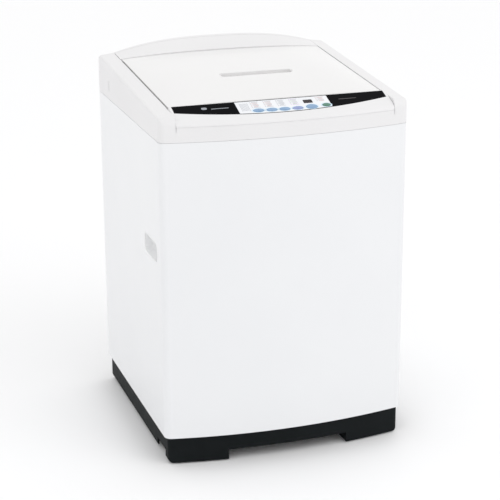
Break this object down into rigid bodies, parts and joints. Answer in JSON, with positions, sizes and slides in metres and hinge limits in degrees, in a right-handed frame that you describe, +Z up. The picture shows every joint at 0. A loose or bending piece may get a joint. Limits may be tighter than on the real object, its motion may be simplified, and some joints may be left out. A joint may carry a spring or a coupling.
{
  "type": "top load washing machine",
  "caption": "Compact top-loading washer: bowed steel cabinet on a black footed base, domed lid, sloping push-button console, sprung tub with basket and pulsator.",
  "frame": {"origin": "centre of the bounding box at the floor, under the levelling feet", "axes": "+Z up, -Y towards the front of the machine, +X to the right as seen from the front"},
  "size_m": [0.61, 0.618, 0.929],
  "materials": {
    "cabinet_paint": "satin white enamel",
    "cover_plastic": "fine satin white",
    "lid_plastic": "fine satin white",
    "grip_plastic": "satin white",
    "base_plastic": "fine grain black",
    "panel_gloss": "high gloss black",
    "label_film": "printed film",
    "display_dark": "smoked window",
    "circuit_board": "lacquered",
    "button_blue": "satin",
    "button_violet": "satin",
    "button_green": "satin",
    "galvanised_sheet": "galvanised",
    "stainless_sheet": "brushed",
    "steel_bright": "turned",
    "spring_steel": "dark wire",
    "cast_housing": "as cast",
    "motor_paint": "satin",
    "tub_plastic": "moulded",
    "pulsator_plastic": "moulded",
    "dark_plastic": "moulded",
    "rubber_black": "matte"
  },
  "bodies": {
    "cabinet": {"cabinet_wrap": "cabinet_paint", "rear_panel": "galvanised_sheet", "base_frame": "base_plastic", "top_cover": "cover_plastic", "rear_cover": "cover_plastic", "control_console": "cover_plastic", "panel_overlay": "panel_gloss", "panel_label": "label_film", "display_window": "display_dark", "control_board": "circuit_board", "side_grip_left": "grip_plastic", "side_grip_right": "grip_plastic", "inlet_valve": "tub_plastic", "fill_spout": "tub_plastic", "drain_pump": "dark_plastic", "drain_hose": "rubber_black", "drain_port": "dark_plastic", "cord_gland": "rubber_black", "lid_switch": "dark_plastic", "suspension_rod_1": "steel_bright", "suspension_rod_2": "steel_bright", "suspension_rod_3": "steel_bright", "suspension_rod_4": "steel_bright", "suspension_spring_1": "spring_steel", "suspension_spring_2": "spring_steel", "suspension_spring_3": "spring_steel", "suspension_spring_4": "spring_steel"},
    "tub": {"outer_tub": "tub_plastic", "tub_ring": "tub_plastic", "sump_boot": "rubber_black", "gearcase": "cast_housing", "motor_body": "motor_paint", "motor_bracket": "galvanised_sheet", "drive_belt": "rubber_black"},
    "basket": {"wash_basket": "stainless_sheet", "balance_ring": "tub_plastic", "basket_hub": "cast_housing", "lint_filter": "dark_plastic"},
    "agitation": {"pulsator": "pulsator_plastic", "pulsator_cap": "pulsator_plastic", "drive_shaft": "steel_bright", "drive_pulley": "cast_housing"},
    "motor": {"motor_shaft": "steel_bright"},
    "pump_rotor": {"pump_impeller": "dark_plastic"},
    "lid": {"lid": "lid_plastic", "lid_grip": "lid_plastic", "hinge_pin_left": "steel_bright", "hinge_pin_right": "steel_bright", "lid_bumper_left": "rubber_black", "lid_bumper_right": "rubber_black"},
    "button_1": {"button_1": "button_blue"},
    "button_2": {"button_2": "button_blue"},
    "button_3": {"button_3": "button_blue"},
    "button_4": {"button_4": "button_violet"},
    "button_5": {"button_5": "button_blue"},
    "button_6": {"button_6": "button_green"},
    "foot_1": {"levelling_foot_1": "rubber_black"},
    "foot_2": {"levelling_foot_2": "rubber_black"},
    "foot_3": {"levelling_foot_3": "rubber_black"},
    "foot_4": {"levelling_foot_4": "rubber_black"}
  },
  "joints": [
    {"name": "tub_bounce", "type": "slide", "parent": "cabinet", "child": "tub", "axis": [0, 0, 1], "range_m": [-0.02, 0.012], "stiffness_N_per_m": 9030, "springref_m": 0.022, "deforming": ["suspension_spring_1", "suspension_spring_2", "suspension_spring_3", "suspension_spring_4"]},
    {"name": "basket_spin", "type": "hinge", "parent": "tub", "child": "basket", "pos_m": [0, 0.009, 0.4], "axis": [0, 0, 1], "continuous": true},
    {"name": "pulsator_spin", "type": "hinge", "parent": "tub", "child": "agitation", "pos_m": [0, 0.009, 0.24], "axis": [0, 0, 1], "continuous": true},
    {"name": "motor_spin", "type": "hinge", "parent": "tub", "child": "motor", "pos_m": [0, -0.141, 0.13], "axis": [0, 0, 1], "continuous": true},
    {"name": "pump_spin", "type": "hinge", "parent": "cabinet", "child": "pump_rotor", "pos_m": [0.19, 0.159, 0.06], "axis": [0, 0, 1], "continuous": true},
    {"name": "lid_hinge", "type": "hinge", "parent": "cabinet", "child": "lid", "pos_m": [0, 0.225, 0.889], "axis": [-1, 0, 0], "range_deg": [0, 92]},
    {"name": "button_1_press", "type": "slide", "parent": "cabinet", "child": "button_1", "axis": [0, 0.3256, -0.9455], "range_m": [0, 0.0012], "stiffness_N_per_m": 500, "springref_m": -0.0004},
    {"name": "button_2_press", "type": "slide", "parent": "cabinet", "child": "button_2", "axis": [0, 0.3256, -0.9455], "range_m": [0, 0.0012], "stiffness_N_per_m": 500, "springref_m": -0.0004},
    {"name": "button_3_press", "type": "slide", "parent": "cabinet", "child": "button_3", "axis": [0, 0.3256, -0.9455], "range_m": [0, 0.0012], "stiffness_N_per_m": 500, "springref_m": -0.0004},
    {"name": "button_4_press", "type": "slide", "parent": "cabinet", "child": "button_4", "axis": [0, 0.3256, -0.9455], "range_m": [0, 0.0012], "stiffness_N_per_m": 500, "springref_m": -0.0004},
    {"name": "button_5_press", "type": "slide", "parent": "cabinet", "child": "button_5", "axis": [0, 0.3256, -0.9455], "range_m": [0, 0.0012], "stiffness_N_per_m": 500, "springref_m": -0.0004},
    {"name": "button_6_press", "type": "slide", "parent": "cabinet", "child": "button_6", "axis": [0, 0.3256, -0.9455], "range_m": [0, 0.0012], "stiffness_N_per_m": 500, "springref_m": -0.0004},
    {"name": "foot_1_screw_out", "type": "slide", "parent": "cabinet", "child": "foot_1", "axis": [0, 0, -1], "range_m": [0, 0.012]},
    {"name": "foot_2_screw_out", "type": "slide", "parent": "cabinet", "child": "foot_2", "axis": [0, 0, -1], "range_m": [0, 0.012]},
    {"name": "foot_3_screw_out", "type": "slide", "parent": "cabinet", "child": "foot_3", "axis": [0, 0, -1], "range_m": [0, 0.012]},
    {"name": "foot_4_screw_out", "type": "slide", "parent": "cabinet", "child": "foot_4", "axis": [0, 0, -1], "range_m": [0, 0.012]}
  ],
  "couplings": [
    {"joint": "motor_spin", "follows": "pulsator_spin", "ratio": 2.5}
  ]
}
